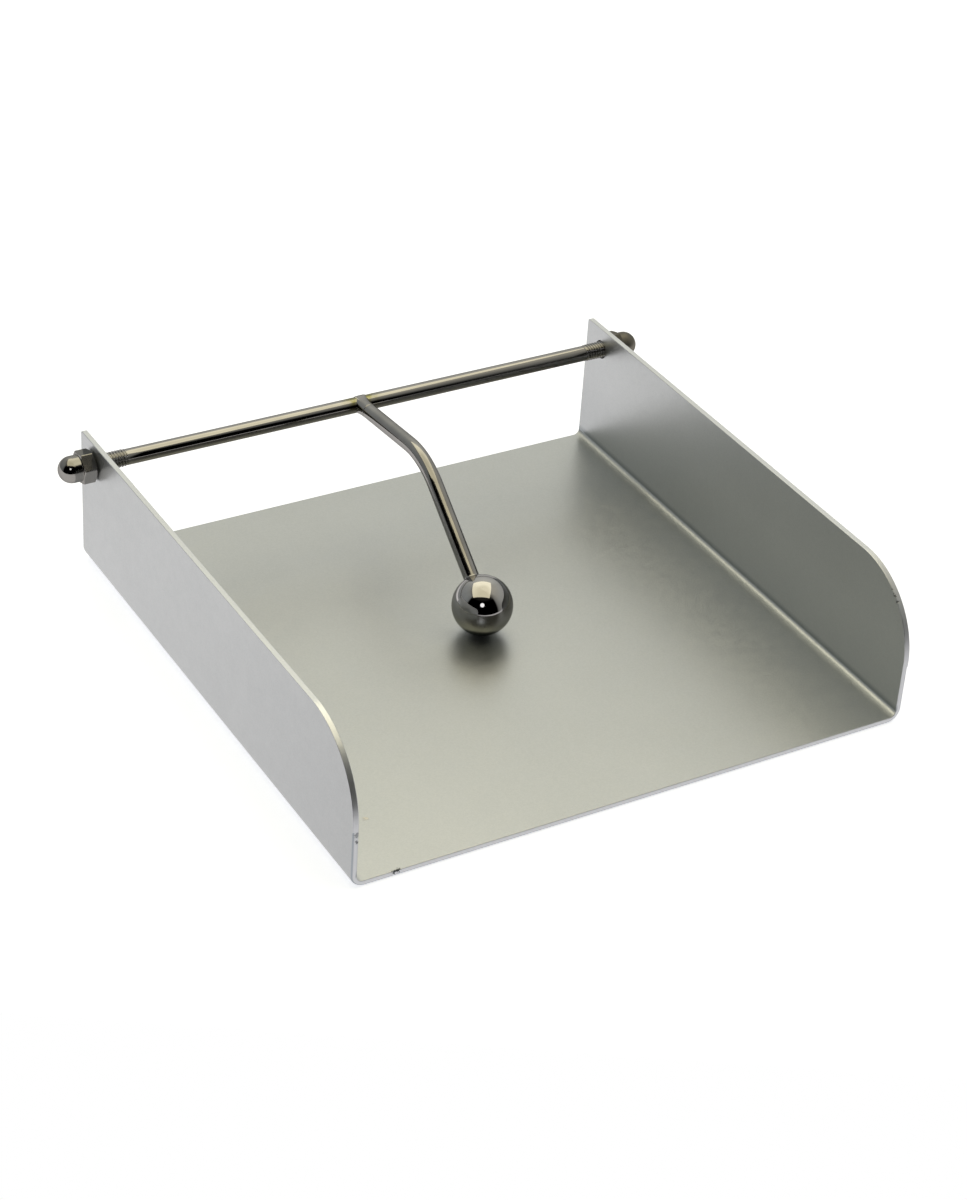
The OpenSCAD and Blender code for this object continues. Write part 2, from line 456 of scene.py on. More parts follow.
def arm_line():
    """Centre line of the arm as (place, direction) pairs, from near the rod's axis to near the ball."""
    upper = ARM_REACH - ARM_TANGENT
    made = [(PIVOT + ARM_START * (upper * step / ARM_RUN_STEPS), ARM_START)
            for step in range(1, ARM_RUN_STEPS)]
    first = PIVOT + ARM_START * upper
    inward = SIDEWAYS.cross(ARM_START)
    centre = first + inward * ARM_BEND_RADIUS
    for step in range(ARM_BEND_STEPS + 1):
        turn = ARM_BEND * step / ARM_BEND_STEPS
        ahead = ARM_START * (ARM_BEND_RADIUS * math.sin(turn))
        place = centre - inward * (ARM_BEND_RADIUS * math.cos(turn)) + ahead
        made.append((place, ARM_START * math.cos(turn) + inward * math.sin(turn)))
    last = made[-1][0]
    length = (BALL_CENTRE - last).length - BALL_RADIUS - ARM_NEAR_BALL
    made += [(last + ARM_END * (length * step / ARM_RUN_STEPS), ARM_END)
             for step in range(1, ARM_RUN_STEPS + 1)]
    return made


def make_arm():
    """The arm, swept round its line. Its first ring is shaped to the rod, its last meets the ball."""
    angles = [FULL * side / ARM_SIDES for side in range(ARM_SIDES)]
    points = []
    for angle in angles:
        reach = math.sqrt(max(0, ROD_RADIUS ** 2 - (ARM_RADIUS * math.sin(angle)) ** 2))
        start = PIVOT + ARM_START * (reach + ARM_GAP)
        points.append(start + round_arm(ARM_START, angle) * ARM_RADIUS)
    rings = [(place, direction) for place, direction in arm_line()
             if (place - PIVOT).length >= ROD_RADIUS + ARM_NEAR_ROD]
    rings.append((BALL_CENTRE - ARM_END * ARM_MEETS_BALL, ARM_END))
    for place, direction in rings:
        points += [place + round_arm(direction, angle) * ARM_RADIUS for angle in angles]
    faces = rings_to_faces(len(points) // ARM_SIDES, ARM_SIDES)
    return face_outwards(mesh_object("bent_arm", points, faces))


def fillet_point(start, corner, end, share):
    """A point of the hollow curve that leads from start to end and bends towards corner."""
    return start * (1 - share) ** 2 + corner * (2 * share * (1 - share)) + end * share ** 2


# Where the neck begins and ends along the arm, how far it swells and how square it gets at the rod
NECK_START = -0.7 * MM
NECK_END = 7 * MM
NECK_SWELL = 0.38 * MM
NECK_SQUARENESS = 1.6
NECK_STEPS = 16
# Share by which the surface of a weld goes up and down
WELD_UNEVENNESS = 0.1
# How far a weld's thin end stands off the metal under it
WELD_SKIN = 0.01 * MM


def make_neck():
    """The end of the arm, swollen by brazing so that it wraps a little over the top of the rod."""
    points = []
    for step in range(NECK_STEPS + 1):
        share = step / NECK_STEPS
        along = NECK_START + (NECK_END - NECK_START) * share
        swell = NECK_SWELL * (1 - share) ** 2 + WELD_SKIN
        power = 2 + NECK_SQUARENESS * (1 - share) ** 3
        for side in range(ARM_SIDES):
            angle = FULL * side / ARM_SIDES
            square = (abs(math.cos(angle)) ** power + abs(math.sin(angle)) ** power) ** (-1 / power)
            uneven = 1 + WELD_UNEVENNESS * math.sin(2 * angle + 3 * share) * (1 - share)
            ray = round_arm(ARM_START, angle) * square
            points.append(PIVOT + ARM_START * along + ray * (ARM_RADIUS + swell * uneven))
    return face_outwards(mesh_object("arm_neck", points, rings_to_faces(NECK_STEPS + 1, ARM_SIDES)))


# Width of the collar at the ball, how much further it climbs the arm, and depth of its hidden edge
BALL_WELD_WIDTH = 0.45 * MM
BALL_WELD_CLIMB = 1.3
BALL_WELD_DEPTH = 0.3 * MM
BALL_WELD_SIDES = 72
BALL_WELD_STEPS = 8
# A finer unevenness on top of the one that all welds have
BALL_WELD_RIPPLE = 0.06


def make_ball_weld():
    """The small hollow collar where the arm enters the ball."""
    points = []
    for side in range(BALL_WELD_SIDES):
        angle = FULL * side / BALL_WELD_SIDES
        ray = round_arm(ARM_END, angle)
        uneven = WELD_UNEVENNESS * math.sin(2 * angle + 2)
        width = BALL_WELD_WIDTH * (1 + uneven + BALL_WELD_RIPPLE * math.sin(5 * angle))
        wide = ARM_RADIUS + width
        far = math.sqrt(BALL_RADIUS ** 2 - wide ** 2)
        climb = ARM_MEETS_BALL + width * BALL_WELD_CLIMB
        on_arm = BALL_CENTRE - ARM_END * climb + ray * (ARM_RADIUS + WELD_SKIN)
        corner = BALL_CENTRE - ARM_END * ARM_MEETS_BALL + ray * ARM_RADIUS
        on_ball = BALL_CENTRE - ARM_END * far + ray * wide
        for step in range(BALL_WELD_STEPS + 1):
            points.append(fillet_point(on_arm, corner, on_ball, step / BALL_WELD_STEPS))
        points.append(corner + (ARM_END - ray) * BALL_WELD_DEPTH)
    return ring_strip("ball_weld", points, BALL_WELD_SIDES, BALL_WELD_STEPS)


def ring_strip(name, points, sides, steps):
    """A hollow fillet round a ring, sharp along both edges, with one more point behind each row."""
    rows = steps + 2
    faces = []
    for side in range(sides):
        here = side * rows
        beside = (side + 1) % sides * rows
        for step in range(rows):
            following = (step + 1) % rows
            faces.append((here + step, beside + step, beside + following, here + following))
    made = face_outwards(mesh_object(name, points, faces))

    def sharpen(work):
        for line in work.edges:
            places = [point.index % rows for point in line.verts]
            line.smooth = places not in ([0, 0], [steps, steps])

    edit_mesh(made, sharpen)
    return made


# Cap nuts

HEXAGON_SIDES = 6
# How sharp the upright corners of the hexagon are
HEXAGON_SHARPNESS = 90
NUT_DOME_STEPS = 24
# Least step down that the chamfer makes, in the middle of a side
NUT_SMALLEST_DROP = 0.02 * MM
# Radius round the axis of the small faces that close the dome and the bore
NUT_TIP = 0.002 * MM
# A line between two roundings is at least this many times their reach
ROUNDING_ROOM = 2.4
# Two more points frame each rounding, this many times its reach from the corner
ROUNDING_FRAME = 1.15
# Where the points lie on each side of the hexagon, from one corner at -1 to the next at 1
SIDE_SHARES = (-1, -0.985, -0.97, -0.94, -0.9, -0.8, -0.6, -0.3,
               0, 0.3, 0.6, 0.8, 0.9, 0.94, 0.97, 0.985)


def hexagon_radius(angle):
    """Distance from the axis to the side of a hexagon with lightly rounded corners."""
    total = 0
    for side in range(HEXAGON_SIDES):
        facing = math.cos(angle - side * FULL / HEXAGON_SIDES)
        if facing > 0:
            total += facing ** HEXAGON_SHARPNESS
    return NUT_ACROSS_FLATS / 2 * total ** (-1 / HEXAGON_SHARPNESS)


def rounded(corners, radius, steps=3):
    """A line through the corners, each one rounded off by short steps."""
    made = [corners[0]]
    for before, at, after in zip(corners, corners[1:], corners[2:]):
        back, ahead = before - at, after - at
        reach = min(radius, back.length / ROUNDING_ROOM, ahead.length / ROUNDING_ROOM)
        first = at + back.normalized() * reach
        last = at + ahead.normalized() * reach
        made.append(at + back.normalized() * (reach * ROUNDING_FRAME))
        made += [fillet_point(first, at, last, step / steps) for step in range(steps + 1)]
        made.append(at + ahead.normalized() * (reach * ROUNDING_FRAME))
    made.append(corners[-1])
    return made


def nut_profile(side):
    """Half section of the nut at a side radius: (radius, height) from in the bore to the dome's tip."""
    drop = max(NUT_SMALLEST_DROP, (side - NUT_FACE_RADIUS) * math.tan(NUT_CHAMFER))
    dome_start = left_nut_high.x - left_nut_low.x - NUT_DOME_RADIUS
    corners = [Vector(pair) for pair in (
        (0, NUT_BORE_DEPTH), (NUT_BORE_RADIUS, NUT_BORE_DEPTH), (NUT_BORE_RADIUS, 0),
        (NUT_FACE_RADIUS, 0), (side, drop), (side, NUT_HEX_HEIGHT - drop),
        (NUT_FACE_RADIUS, NUT_HEX_HEIGHT), (NUT_DOME_RADIUS, NUT_HEX_HEIGHT),
        (NUT_DOME_RADIUS, dome_start))]
    line = rounded(corners, NUT_EDGE_ROUNDING)
    for step in range(1, NUT_DOME_STEPS + 1):
        angle = QUARTER * step / NUT_DOME_STEPS
        rise = NUT_DOME_RADIUS * math.sin(angle)
        line.append(Vector((NUT_DOME_RADIUS * math.cos(angle), dome_start + rise)))
    return line


def make_cap_nut(name, seat, outward, turn):
    """A nut on the rod's axis. Its bearing face lies at seat, and its dome points outward along X."""
    angles = []
    for side in range(HEXAGON_SIDES):
        middle = side * FULL / HEXAGON_SIDES
        angles += [middle + share * FULL / (2 * HEXAGON_SIDES) for share in SIDE_SHARES]
    points = []
    rows = 0
    for angle in angles:
        profile = nut_profile(hexagon_radius(angle))
        rows = len(profile)
        points += [round_axis(seat + outward * height, max(radius, NUT_TIP), angle + turn)
                   for radius, height in profile]
    starts = [index * rows for index in range(len(angles))]
    faces = []
    for here, beside in zip(starts, starts[1:] + starts[:1]):
        faces += [(here + row, beside + row, beside + row + 1, here + row + 1)
                  for row in range(rows - 1)]
    faces.append(tuple(starts))
    faces.append(tuple(start + rows - 1 for start in starts))
    return face_outwards(mesh_object(name, points, faces))


def make_ball():
    """The ball with its true curve."""
    sides, rows = 128, 64
    points = []
    for row in range(1, rows):
        angle = math.pi * row / rows
        for side in range(sides):
            turn = FULL * side / sides
            out = math.sin(angle) * math.cos(turn), math.sin(angle) * math.sin(turn), math.cos(angle)
            points.append(BALL_CENTRE + BALL_RADIUS * Vector(out))
    faces = rings_to_faces(rows - 1, sides, closed_ends=False)
    top = len(points)
    points += [BALL_CENTRE + Vector((0, 0, BALL_RADIUS)), BALL_CENTRE - Vector((0, 0, BALL_RADIUS))]
    last = (rows - 2) * sides
    for side in range(sides):
        after = (side + 1) % sides
        faces.append((top, side, after))
        faces.append((top + 1, last + after, last + side))
    made = face_outwards(mesh_object("steel_ball", points, faces))
    normals = [tuple((point - BALL_CENTRE).normalized()) for point in points]
    made.data.normals_split_custom_set_from_vertices(normals)
    return made


# Camera

PHOTO_HEIGHT = 1200
SENSOR = 36
FOCAL_PIXELS = 2900
CAMERA_PLACE = Vector((-410.84, -662.03, 528.08)) * MM
CAMERA_YAW = math.radians(31.842)
CAMERA_PITCH = math.radians(33.406)
CAMERA_ROLL = math.radians(3.97)
CAMERA_NEAREST = 0.05
CAMERA_FARTHEST = 50
# Level directions away from the camera and to the right of the picture
AWAY = Vector((math.sin(CAMERA_YAW), math.cos(CAMERA_YAW), 0))
ASIDE = Vector((math.cos(CAMERA_YAW), -math.sin(CAMERA_YAW), 0))


def make_camera():
    """The photo's camera, fitted to the straight edges of the tray."""
    data = bpy.data.cameras.new("camera")
    data.sensor_width = SENSOR
    data.lens = FOCAL_PIXELS * SENSOR / PHOTO_HEIGHT
    data.clip_start = CAMERA_NEAREST
    data.clip_end = CAMERA_FARTHEST
    camera = bpy.data.objects.new("camera", data)
    bpy.context.scene.collection.objects.link(camera)
    camera.location = CAMERA_PLACE
    heading = Matrix.Rotation(-CAMERA_YAW, 4, "Z")
    tilt = Matrix.Rotation(QUARTER - CAMERA_PITCH, 4, "X")
    roll = Matrix.Rotation(CAMERA_ROLL, 4, "Z")
    camera.rotation_euler = (heading @ tilt @ roll).to_euler()
    bpy.context.scene.camera = camera


# Materials

class Tree:
    """A node tree under construction: makes nodes and joins them."""

    def __init__(self, tree):
        self.tree = tree

    def add(self, kind, feeds=(), **settings):
        """A new node with its settings. feeds are (input, what goes into it) pairs."""
        node = self.tree.nodes.new(kind)
        for key, value in settings.items():
            setattr(node, key, value)
        for socket, value in feeds:
            self.feed(node.inputs[socket], value)
        return node

    def feed(self, socket, value):
        """Puts a number, a colour or another node's output into a socket."""
        if isinstance(value, bpy.types.NodeSocket):
            self.tree.links.new(value, socket)
        else:
            socket.default_value = value

    def axes(self, vector):
        """The three coordinates of a vector."""
        node = self.add("ShaderNodeSeparateXYZ", [("Vector", vector)])
        return node.outputs["X"], node.outputs["Y"], node.outputs["Z"]

    def combine(self, first, second, operation="ADD"):
        """The sum of two numbers, or the result of another operation."""
        node = self.add("ShaderNodeMath", [(0, first), (1, second)], operation=operation)
        return node.outputs["Value"]

    def spread(self, value, low, high, from_low=0, from_high=1, **settings):
        """A value as far from low to high as the given one is from from_low to from_high."""
        node = self.add("ShaderNodeMapRange", [
            ("Value", value), ("From Min", from_low), ("From Max", from_high),
            ("To Min", low), ("To Max", high)], **settings)
        return node.outputs["Result"]

    def blend(self, share, first, second, way="MIX"):
        """A colour between first and second, or another blend of the two."""
        feeds = [("Factor", share), ("A", first), ("B", second)]
        return self.add("ShaderNodeMix", feeds, data_type="RGBA", blend_type=way).outputs["Result"]

    def choose(self, share, first, second):
        """The first shader where share is 0, and the second where it is 1."""
        feeds = [("Fac", share), (1, first), (2, second)]
        return self.add("ShaderNodeMixShader", feeds).outputs["Shader"]

    def ramp(self, value, stops):
        """The level at a value from 0 to 1. A stop is a position with its grey level or colour."""
        node = self.add("ShaderNodeValToRGB", [("Fac", value)])
        elements = node.color_ramp.elements
        while len(elements) > 1:
            elements.remove(elements[0])
        for index, (position, level) in enumerate(stops):
            stop = elements[0] if index == 0 else elements.new(position)
            stop.position = position
            stop.color = (*level, 1) if isinstance(level, tuple) else (level, level, level, 1)
        return node.outputs["Color"]


class MaterialTree(Tree):
    """A material under construction, with its shader and the place in the frame."""

    def __init__(self, name):
        self.material = bpy.data.materials.new(name)
        self.material.use_nodes = True
        super().__init__(self.material.node_tree)
        self.shader = self.tree.nodes["Principled BSDF"]
        self.place = self.add("ShaderNodeTexCoord").outputs["Object"]

    def shade(self, name, value):
        """Feeds an input of the shader."""
        self.feed(self.shader.inputs[name], value)

    def stretched(self, scale):
        """The place, with its three coordinates scaled."""
        feeds = [("Vector", self.place), ("Scale", scale)]
        return self.add("ShaderNodeMapping", feeds).outputs["Vector"]

    def noise(self, size, detail=3, place=None):
        """Noise from 0 to 1 whose blotches are about size metres wide."""
        feeds = [("Vector", place or self.place), ("Scale", 1 / size), ("Detail", detail)]
        return self.add("ShaderNodeTexNoise", feeds).outputs["Fac"]

    def flakes(self, size):
        """A random level from 0 to 1 for each grain of about size metres."""
        cells = self.add("ShaderNodeTexVoronoi", [("Vector", self.place), ("Scale", 1 / size)])
        split = self.add("ShaderNodeSeparateColor", [("Color", cells.outputs["Color"])])
        return split.outputs["Red"]

    def spot(self, centre, radius, unevenness):
        """1 at a place and 0 from about radius metres away."""
        feeds = [(0, self.place), (1, centre)]
        straight = self.add("ShaderNodeVectorMath", feeds, operation="DISTANCE").outputs["Value"]
        return self.spread(self.combine(straight, unevenness), 1, 0, radius / 2, radius)

    def attribute(self, name):
        """The number that each point of the mesh carries under a name."""
        return self.add("ShaderNodeAttribute", attribute_name=name).outputs["Fac"]

    def bump(self, height, depth, onto=None):
        """A bump of depth metres, on top of another one if it is given."""
        feeds = [("Height", height), ("Distance", depth), ("Strength", 1)]
        if onto:
            feeds.append(("Normal", onto))
        return self.add("ShaderNodeBump", feeds).outputs["Normal"]


def give(piece, material):
    piece.data.materials.clear()
    piece.data.materials.append(material)


# Most of a noise lies between these levels
NOISE_RANGE = (0.3, 0.7)

COAT_DARK = (0.54, 0.561, 0.572, 1)
COAT_LIGHT = (0.57, 0.59, 0.60, 1)
COAT_FLAKE = (0.76, 0.765, 0.765, 1)
COAT_EDGE = (0.76, 0.78, 0.81, 1)
COAT_RIM = (0.31, 0.36, 0.41, 1)
# Painted shade for the foot of the walls, above the inside of the folds
COAT_PAINTED_FOLD_SHADE = (0.26, 0.29, 0.31, 1)
COAT_METAL = 0.9
COAT_ROUGHNESS = (0.32, 0.38)
# Sizes of the coat's clouds, flakes, orange peel and patches of other roughness
COAT_CLOUDS = 45 * MM
COAT_FLAKES = 0.42 * MM
COAT_PEEL = 1.6 * MM
COAT_PATCHES = 3 * MM
COAT_PEEL_DEPTH = 0.012 * MM
COAT_FLAKE_DEPTH = 0.006 * MM
# Least and most share of the light coat in the clouds, and the noise at which each is reached
CLOUD_SHARES = (0.2, 0.8)
CLOUD_RANGE = (0.35, 0.65)
# Most share of the flakes' colour, of the pale edges' and of the dark rims'
FLAKE_SHARE = 0.16
EDGE_SHARE = 0.85
RIM_SHARE = 0.75

# Painted shade above the inside of a fold, in place of the dark reflections at the wall's foot: heights
# over the base where it starts, and its line and haze end
FOLD_SHADE_START = (1.5 * MM, 2.3 * MM)
FOLD_LINE_END = (2.7 * MM, 4.4 * MM)
FOLD_HAZE_END = (2.5 * MM, 26 * MM)
FOLD_LINE = 0.55
FOLD_HAZE = 0.22
# Depths below a wall's outer face between which its inside begins
WALL_INSIDE = (1.6 * MM, 1.2 * MM)

# Chips: size of the teeth at their ragged edge, how far these reach, and how deep a chip is
CHIP_TEETH = 0.6 * MM
CHIP_RAGGEDNESS = 0.5 * MM
CHIP_DEPTH = 0.08 * MM
BARE = (0.07, 0.075, 0.08, 1)
WORN = (0.20, 0.21, 0.22, 1)
RUBBED = (0.36, 0.38, 0.40, 1)
PALE = (0.66, 0.63, 0.57, 1)
# Place and radius in millimetres, and tone, of the chips at the edges and of a pale speck on the base
COAT_CHIPS = (
    ((-83.4, -96.5, 1.5), 0.75, BARE), ((-82.0, -96.5, 1.9), 0.85, BARE),
    ((-95.9, -96.5, 16.8), 0.7, WORN), ((-96.3, -96.6, 19.3), 0.9, RUBBED),
    ((95.6, -87.2, 42.0), 0.6, WORN), ((95.6, -88.8, 40.5), 0.6, WORN),
    ((95.6, -85.8, 43.7), 0.5, WORN), ((-79.5, -71.2, 1.9), 0.8, PALE))


def coat_material():
    """Silver grey powder coat with metal flakes and painted shade above the folds, chipped at the
    edges.
    """
    tree = MaterialTree("silver_powder_coat")
    cloud = tree.noise(COAT_CLOUDS, 2)
    grain = tree.flakes(COAT_FLAKES)
    colour = tree.blend(tree.spread(cloud, *CLOUD_SHARES, *CLOUD_RANGE), COAT_DARK, COAT_LIGHT)
    colour = tree.blend(tree.spread(grain, 0, FLAKE_SHARE), colour, COAT_FLAKE)
    colour = tree.blend(tree.spread(tree.attribute("edge"), 0, EDGE_SHARE), colour, COAT_EDGE)
    colour = tree.blend(tree.spread(tree.attribute("rim"), 0, RIM_SHARE), colour, COAT_RIM)
    # Painted shade above the inside of the folds
    colour = tree.blend(painted_shade_in_folds(tree), colour, COAT_PAINTED_FOLD_SHADE)
    ragged = tree.spread(tree.noise(CHIP_TEETH, 2), -CHIP_RAGGEDNESS, CHIP_RAGGEDNESS, *NOISE_RANGE)
    chips = 0
    for centre, radius, tone in COAT_CHIPS:
        chip = tree.spot([level * MM for level in centre], radius * MM, ragged)
        colour = tree.blend(chip, colour, tone)
        chips = tree.combine(chip, chips, "MAXIMUM")
    tree.shade("Base Color", colour)
    tree.shade("Metallic", COAT_METAL)
    tree.shade("Roughness", tree.spread(tree.noise(COAT_PATCHES), *COAT_ROUGHNESS, *NOISE_RANGE))
    peel = tree.bump(tree.noise(COAT_PEEL, 2), COAT_PEEL_DEPTH)
    pitted = tree.bump(tree.spread(chips, 1, 0), CHIP_DEPTH, onto=peel)
    tree.shade("Normal", tree.bump(grain, COAT_FLAKE_DEPTH, onto=pitted))
    return tree.material


def painted_shade_in_folds(tree):
    """How much painted shade lies above the inside of a fold: most at the wall's foot, fading out
    upwards.
    """
    across, _, up = tree.axes(tree.place)
    aside = tree.combine(across, 0, "ABSOLUTE")
    inside = tree.spread(aside, 1, 0, *[tray_high.x - depth for depth in WALL_INSIDE])
    rising = tree.spread(up, 0, 1, *[SHEET + height for height in FOLD_SHADE_START])
    line = tree.spread(up, FOLD_LINE, 0, *[SHEET + height for height in FOLD_LINE_END])
    haze = tree.spread(up, FOLD_HAZE, 0, *[SHEET + height for height in FOLD_HAZE_END])
    return tree.combine(inside, tree.combine(rising, tree.combine(line, haze), "MULTIPLY"), "MULTIPLY")


STEEL = (0.41, 0.40, 0.388, 1)
BALL_STEEL = (0.52, 0.51, 0.505, 1)
NUT_STEEL = (0.33, 0.322, 0.305, 1)
DULL_STEEL = (0.24, 0.225, 0.19, 1)
STRAW = (0.26, 0.25, 0.10, 1)
# Painted shade that darkens the lower halves of the ball and the rod
PAINTED_BALL_SHADE = (0.22, 0.225, 0.21, 1)
PAINTED_ROD_SHADE = (0.22, 0.215, 0.21, 1)
# How much of the light the bright metals give back where they are seen at a slant
RIM_TINT = (0.55, 0.55, 0.55, 1)
# Sizes of the blotches, smears, waves and fine lines of polished steel
STEEL_BLOTCHES = 9 * MM
STEEL_SMEARS = 4 * MM
STEEL_WAVES = 3.5 * MM
STEEL_LINES = 0.35 * MM
STEEL_LINE_DEPTH = 0.0012 * MM
# How the fine lines of the round pieces and of the nuts are stretched, square to the rod
ROD_LINES = (1, 0.05, 0.05)
NUT_LINES = (1, 0.06, 0.06)
# How much smoother and rougher than its mean the polish gets
SMOOTHEST = 0.75
ROUGHEST = 1.35
# Heat tint: distances from the arm between which it fades out, size of its patches, and its least share
TINT_END = (3 * MM, 8 * MM)
TINT_PATCHES = 2.5 * MM
TINT_LEAST = 0.2
TINT_RANGE = (0.4, 0.6)
# Heights from the ball's middle and from the rod's axis between which the painted shade of the
# undersides ends
BALL_SHADE_PAINT_LIMITS = (-3 * MM, 3 * MM)
ROD_SHADE_PAINT_LIMITS = (-0.6 * MM, 0.8 * MM)


def bright_metal(name, colour, roughness, lines=None, waviness=0.0, wear=0.9, tints_and_shades=()):
    """Polished steel: faint blotches, a few fine lines across or along, and an uneven polish.

    lines is the stretch of the fine lines, waviness the depth of the waves and wear the blotches' tone.
    The last argument holds functions that each give the share and colour of a layer on the steel, such
    as the real heat tint and the painted shade of an underside."""
    tree = MaterialTree(name)
    worn = tuple(level * wear for level in colour[:3]) + (1,)
    tone = tree.blend(tree.spread(tree.noise(STEEL_BLOTCHES), 0, 1, *NOISE_RANGE), colour, worn)
    for overlay in tints_and_shades:
        share, tone_laid_on = overlay(tree)
        tone = tree.blend(share, tone, tone_laid_on)
    tree.shade("Base Color", tone)
    tree.shade("Metallic", 1)
    tree.shade("Specular Tint", RIM_TINT)
    smear = tree.noise(STEEL_SMEARS, 4)
    rough = tree.spread(smear, roughness * SMOOTHEST, roughness * ROUGHEST, *NOISE_RANGE)
    tree.shade("Roughness", rough)
    bump = tree.bump(tree.noise(STEEL_WAVES, 2), waviness) if waviness else None
    if lines:
        fine = tree.noise(STEEL_LINES, place=tree.stretched(lines))
        bump = tree.bump(fine, STEEL_LINE_DEPTH, onto=bump)
    if bump:
        tree.shade("Normal", bump)
    return tree.material


def heat_tint(tree):
    """The straw-coloured tint that brazing left on the rod on both sides of the arm."""
    across, _, _ = tree.axes(tree.place)
    near = tree.spread(tree.combine(across, 0, "ABSOLUTE"), 1, 0, *TINT_END)
    patchy = tree.spread(tree.noise(TINT_PATCHES, 2), TINT_LEAST, 1, *TINT_RANGE)
    return tree.combine(near, patchy, "MULTIPLY"), STRAW


def ball_underside_painted_shade(tree):
    """Painted shade that darkens the lower half of the ball."""
    _, _, up = tree.axes(tree.place)
    return tree.spread(up, 1, 0, *[BALL_CENTRE.z + height for height in BALL_SHADE_PAINT_LIMITS]), PAINTED_BALL_SHADE


def rod_underside_painted_shade(tree):
    """Painted shade that darkens the lower half of the rod, as on the ball."""
    _, _, up = tree.axes(tree.place)
    return tree.spread(up, 1, 0, *[PIVOT.z + height for height in ROD_SHADE_PAINT_LIMITS]), PAINTED_ROD_SHADE


# The pieces

tray_sheet = make_tray()
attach(tray_sheet, "tray")
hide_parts("tray")
give(tray_sheet, coat_material())

rod = make_rod()
arm = make_arm()
neck = make_neck()
ball_weld = make_ball_weld()
ball = make_ball()
left_nut = make_cap_nut("left_cap_nut", left_nut_high.x, -1, NUT_TURN_LEFT)
right_nut = make_cap_nut("right_cap_nut", right_nut_low.x, 1, NUT_TURN_RIGHT)

# The rod gets a real heat tint near the arm and painted shade on its underside
rod_metal = bright_metal("rod_steel", STEEL, roughness=0.06, lines=ROD_LINES, waviness=0.004 * MM,
                         tints_and_shades=(heat_tint, rod_underside_painted_shade))
arm_metal = bright_metal("arm_steel", STEEL, roughness=0.10, lines=ROD_LINES, waviness=0.012 * MM,
                         wear=0.78)
nut_metal = bright_metal("nut_steel", NUT_STEEL, roughness=0.10, lines=NUT_LINES, waviness=0.003 * MM)
dull_metal = bright_metal("dull_steel", DULL_STEEL, roughness=0.36, lines=NUT_LINES,
                          waviness=0.01 * MM, wear=0.7)
# The ball's lower half gets painted shade
ball_metal = bright_metal("ball_steel", BALL_STEEL, roughness=0.035, tints_and_shades=(ball_underside_painted_shade,))

for piece, node, slot, material in (
        (rod, "pivot_rod", "rod", rod_metal), (arm, "press_arm", "arm", arm_metal),
        (ball, "ball_weight", "ball", ball_metal), (left_nut, "cap_nut_left", "cap_nut", nut_metal),
        (right_nut, "cap_nut_right", "cap_nut", dull_metal), (neck, None, "arm", arm_metal),
        (ball_weld, None, "arm", arm_metal)):
    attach(piece, "swing_arm")
    give(piece, material)
    if node:
        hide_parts(node)


# Stage: floor, softbox and surroundings

# The table's front edge, square to the camera, from the middle of the holder
FLOOR_FRONT = -0.195
FLOOR_REACH = 3.0
# Just low enough that the floor and the tray's underside don't lie in one plane
FLOOR_DROP = 0.02 * MM
FLOOR_COLOUR = (0.76, 0.80, 0.90, 1)
FLOOR_ROUGHNESS = 0.9
# Light that the camera alone sees on the floor, which makes it white
FLOOR_CAMERA_LIFT = 0.71
FLOOR_MIRRORED = (1.0, 0.976, 0.965, 1)
# How much darker the mirrored floor is beside the holder's front than at its rear, and before it
FLOOR_FALLOFF = 0.15
FLOOR_FRONT_FALLOFF = 0.4
# Where the second one begins, in depths of the holder from its middle
FLOOR_FALLOFF_START = 0.6
# The softbox's middle from the ball: away from the camera, to its left, and up
SOFTBOX_AWAY = 0.192
SOFTBOX_ASIDE = -0.095
SOFTBOX_HEIGHT = 0.715
SOFTBOX_TILT = math.radians(8)
SOFTBOX_LENGTH = 1.06
SOFTBOX_WIDTH = 0.82
SOFTBOX_RADIANCE = 1.12
SOFTBOX_COLOUR = (1.0, 0.925, 0.655)
WHITE = (1, 1, 1, 1)


def make_floor():
    """A pale table that ends a little in front of the holder, as in the studio."""
    front, rear, side = AWAY * FLOOR_FRONT, AWAY * FLOOR_REACH, ASIDE * FLOOR_REACH
    drop = Vector((0, 0, FLOOR_DROP))
    corners = [corner - drop for corner in (front - side, front + side, rear + side, rear - side)]
    floor = mesh_object("floor", corners, [(0, 1, 2, 3)])
    give(floor, floor_material())


def floor_material():
    """Matt, and white to the camera but for the holder's shadow. Metal mirrors it in a tone of its own.

    It is clear from below, so that the underside of the holder can be seen."""
    tree = MaterialTree("floor_white")
    tree.shade("Base Color", FLOOR_COLOUR)
    tree.shade("Roughness", FLOOR_ROUGHNESS)
    tree.shade("Specular IOR Level", 0)
    tree.shade("Emission Color", WHITE)
    path = tree.add("ShaderNodeLightPath")
    seen = path.outputs["Is Camera Ray"]
    tree.shade("Emission Strength", tree.combine(seen, FLOOR_CAMERA_LIFT, "MULTIPLY"))
    _, depth, _ = tree.axes(tree.place)
    beside = tree.spread(depth, 1 - FLOOR_FALLOFF, 1, -TRAY_DEPTH / 2, TRAY_DEPTH / 2)
    start = -FLOOR_FALLOFF_START * TRAY_DEPTH
    before = tree.spread(depth, 1 - FLOOR_FRONT_FALLOFF, 1, -TRAY_DEPTH, start)
    strength = tree.combine(beside, before, "MULTIPLY")
    plain = tree.add("ShaderNodeEmission", [("Color", FLOOR_MIRRORED), ("Strength", strength)])
    matt = tree.shader.outputs["BSDF"]
    above = tree.choose(path.outputs["Is Glossy Ray"], matt, plain.outputs["Emission"])
    underside = tree.add("ShaderNodeNewGeometry").outputs["Backfacing"]
    clear = tree.add("ShaderNodeBsdfTransparent").outputs["BSDF"]
    shown = tree.choose(tree.combine(underside, seen, "MULTIPLY"), above, clear)
    tree.feed(tree.tree.nodes["Material Output"].inputs["Surface"], shown)
    return tree.material


